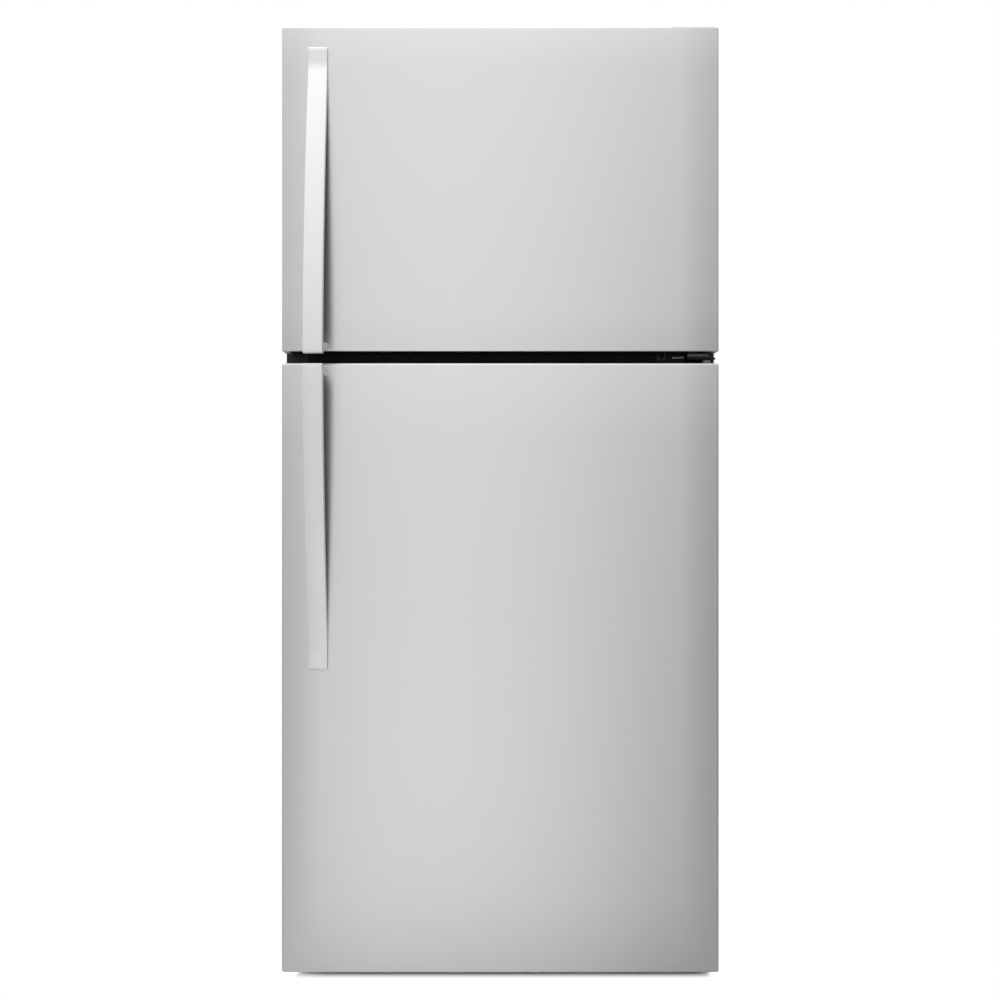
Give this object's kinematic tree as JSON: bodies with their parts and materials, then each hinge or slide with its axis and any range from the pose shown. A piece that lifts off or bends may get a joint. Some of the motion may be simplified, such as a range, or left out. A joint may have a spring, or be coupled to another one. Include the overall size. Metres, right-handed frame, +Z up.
{
  "type": "top freezer refrigerator",
  "caption": "Stainless refrigerator with a freezer door above a taller fresh food door, bowed bar handles on the left, hinges on the right, and shelves, door bins and crisper drawers inside.",
  "frame": {"origin": "on the floor, below the centre of the whole object's bounding box", "axes": "+Z up, doors face -Y, +X towards the hinge side"},
  "size_m": [0.756, 0.85, 1.664],
  "materials": {
    "stainless": "horizontal brushed satin",
    "handle_metal": "satin",
    "cabinet_paint": "fine textured matte black",
    "black_plastic": "moulded matte",
    "white_plastic": "satin white",
    "clear_plastic": "clear moulded",
    "shelf_glass": "clear tempered glass with a white rim",
    "gasket_rubber": "soft matte",
    "foam": null,
    "zinc_steel": "zinc-coated sheet",
    "hinge_steel": "dark zinc-plated plate",
    "grey_plastic": "moulded satin",
    "machine_paint": "semi-gloss black enamel",
    "aluminium": "mill finish"
  },
  "bodies": {
    "cabinet": {"cabinet_wrapper": "cabinet_paint", "back_panel": "zinc_steel", "machine_compartment_cover": "zinc_steel", "cord_bushing": "black_plastic", "freezer_liner": "white_plastic", "fresh_food_liner": "white_plastic", "mullion_cover": "black_plastic", "cabinet_insulation": "foam", "front_rail": "black_plastic", "base_pan": "zinc_steel", "toe_grille": "black_plastic", "bottom_hinge": "hinge_steel", "center_hinge": "hinge_steel", "top_hinge": "hinge_steel", "top_hinge_cover": "black_plastic", "evaporator_cover": "white_plastic", "evaporator": "aluminium", "evaporator_fan_motor": "black_plastic", "freezer_shelf": "white_plastic", "upper_glass_shelf": "shelf_glass", "lower_glass_shelf": "shelf_glass", "control_housing": "white_plastic", "crisper_cover_shelf": "shelf_glass", "compressor": "machine_paint", "condenser_coil": "machine_paint", "drain_pan": "black_plastic", "condenser_fan_motor": "black_plastic"},
    "freezer_door": {"freezer_door_skin": "stainless", "freezer_door_bottom_cap": "black_plastic", "freezer_door_top_cap": "black_plastic", "freezer_door_core": "foam", "freezer_door_liner": "white_plastic", "freezer_door_gasket": "gasket_rubber", "freezer_handle": "handle_metal", "freezer_door_lower_bin": "white_plastic", "freezer_door_upper_bin": "white_plastic"},
    "fridge_door": {"fridge_door_skin": "stainless", "fridge_door_bottom_cap": "black_plastic", "fridge_door_top_cap": "black_plastic", "fridge_door_core": "foam", "fridge_door_liner": "white_plastic", "fridge_door_gasket": "gasket_rubber", "fridge_handle": "handle_metal", "gallon_bin": "clear_plastic", "middle_door_bin": "clear_plastic", "dairy_compartment": "white_plastic"},
    "dairy_lid": {"dairy_lid": "clear_plastic"},
    "left_crisper": {"crisper_drawer_left": "clear_plastic"},
    "left_humidity_slide": {"humidity_slide_left": "grey_plastic"},
    "right_crisper": {"crisper_drawer_right": "clear_plastic"},
    "right_humidity_slide": {"humidity_slide_right": "grey_plastic"},
    "freezer_control": {"freezer_control_knob": "grey_plastic"},
    "refrigerator_control": {"refrigerator_control_knob": "grey_plastic"},
    "light_switch": {"door_light_switch": "grey_plastic"},
    "evaporator_fan": {"evaporator_fan": "grey_plastic"},
    "condenser_fan": {"condenser_fan": "grey_plastic"},
    "left_leg": {"leveling_leg_left": "zinc_steel"},
    "right_leg": {"leveling_leg_right": "zinc_steel"},
    "left_roller": {"rear_roller_left": "grey_plastic"},
    "right_roller": {"rear_roller_right": "grey_plastic"}
  },
  "joints": [
    {"name": "freezer_door_hinge", "type": "hinge", "parent": "cabinet", "child": "freezer_door", "pos_m": [0.36, -0.314, 1.36], "axis": [0, 0, 1], "range_deg": [0, 110]},
    {"name": "fridge_door_hinge", "type": "hinge", "parent": "cabinet", "child": "fridge_door", "pos_m": [0.36, -0.314, 0.54], "axis": [0, 0, 1], "range_deg": [0, 110]},
    {"name": "dairy_lid_hinge", "type": "hinge", "parent": "fridge_door", "child": "dairy_lid", "pos_m": [-0.118, -0.2025, 0.955], "axis": [1, 0, 0], "range_deg": [0, 85]},
    {"name": "left_crisper_slide", "type": "slide", "parent": "cabinet", "child": "left_crisper", "axis": [0, -1, 0], "range_m": [0, 0.1]},
    {"name": "right_crisper_slide", "type": "slide", "parent": "cabinet", "child": "right_crisper", "axis": [0, -1, 0], "range_m": [0, 0.1]},
    {"name": "left_humidity_slide", "type": "slide", "parent": "left_crisper", "child": "left_humidity_slide", "axis": [1, 0, 0], "range_m": [-0.02, 0.02]},
    {"name": "right_humidity_slide", "type": "slide", "parent": "right_crisper", "child": "right_humidity_slide", "axis": [1, 0, 0], "range_m": [-0.02, 0.02]},
    {"name": "freezer_control_turn", "type": "hinge", "parent": "cabinet", "child": "freezer_control", "pos_m": [-0.09, -0.24, 1.008], "axis": [0, -1, 0], "range_deg": [-120, 120]},
    {"name": "refrigerator_control_turn", "type": "hinge", "parent": "cabinet", "child": "refrigerator_control", "pos_m": [0.09, -0.24, 1.008], "axis": [0, -1, 0], "range_deg": [-120, 120]},
    {"name": "light_switch_travel", "type": "slide", "parent": "cabinet", "child": "light_switch", "axis": [0, -1, 0], "range_m": [0, 0.006]},
    {"name": "evaporator_fan_spin", "type": "hinge", "parent": "cabinet", "child": "evaporator_fan", "pos_m": [0, 0.306, 1.44], "axis": [0, 1, 0], "continuous": true},
    {"name": "condenser_fan_spin", "type": "hinge", "parent": "cabinet", "child": "condenser_fan", "pos_m": [-0.075, 0.306, 0.15], "axis": [1, 0, 0], "continuous": true},
    {"name": "left_leg_turn", "type": "hinge", "parent": "cabinet", "child": "left_leg", "pos_m": [-0.3, -0.26, 0.02], "axis": [0, 0, 1], "continuous": true},
    {"name": "right_leg_turn", "type": "hinge", "parent": "cabinet", "child": "right_leg", "pos_m": [0.3, -0.26, 0.02], "axis": [0, 0, 1], "continuous": true},
    {"name": "left_roller_spin", "type": "hinge", "parent": "cabinet", "child": "left_roller", "pos_m": [-0.33, 0.356, 0.014], "axis": [1, 0, 0], "continuous": true},
    {"name": "right_roller_spin", "type": "hinge", "parent": "cabinet", "child": "right_roller", "pos_m": [0.33, 0.356, 0.014], "axis": [1, 0, 0], "continuous": true}
  ],
  "couplings": [
    {"joint": "light_switch_travel", "follows": "fridge_door_hinge", "m_per_rad": 0.0031}
  ]
}
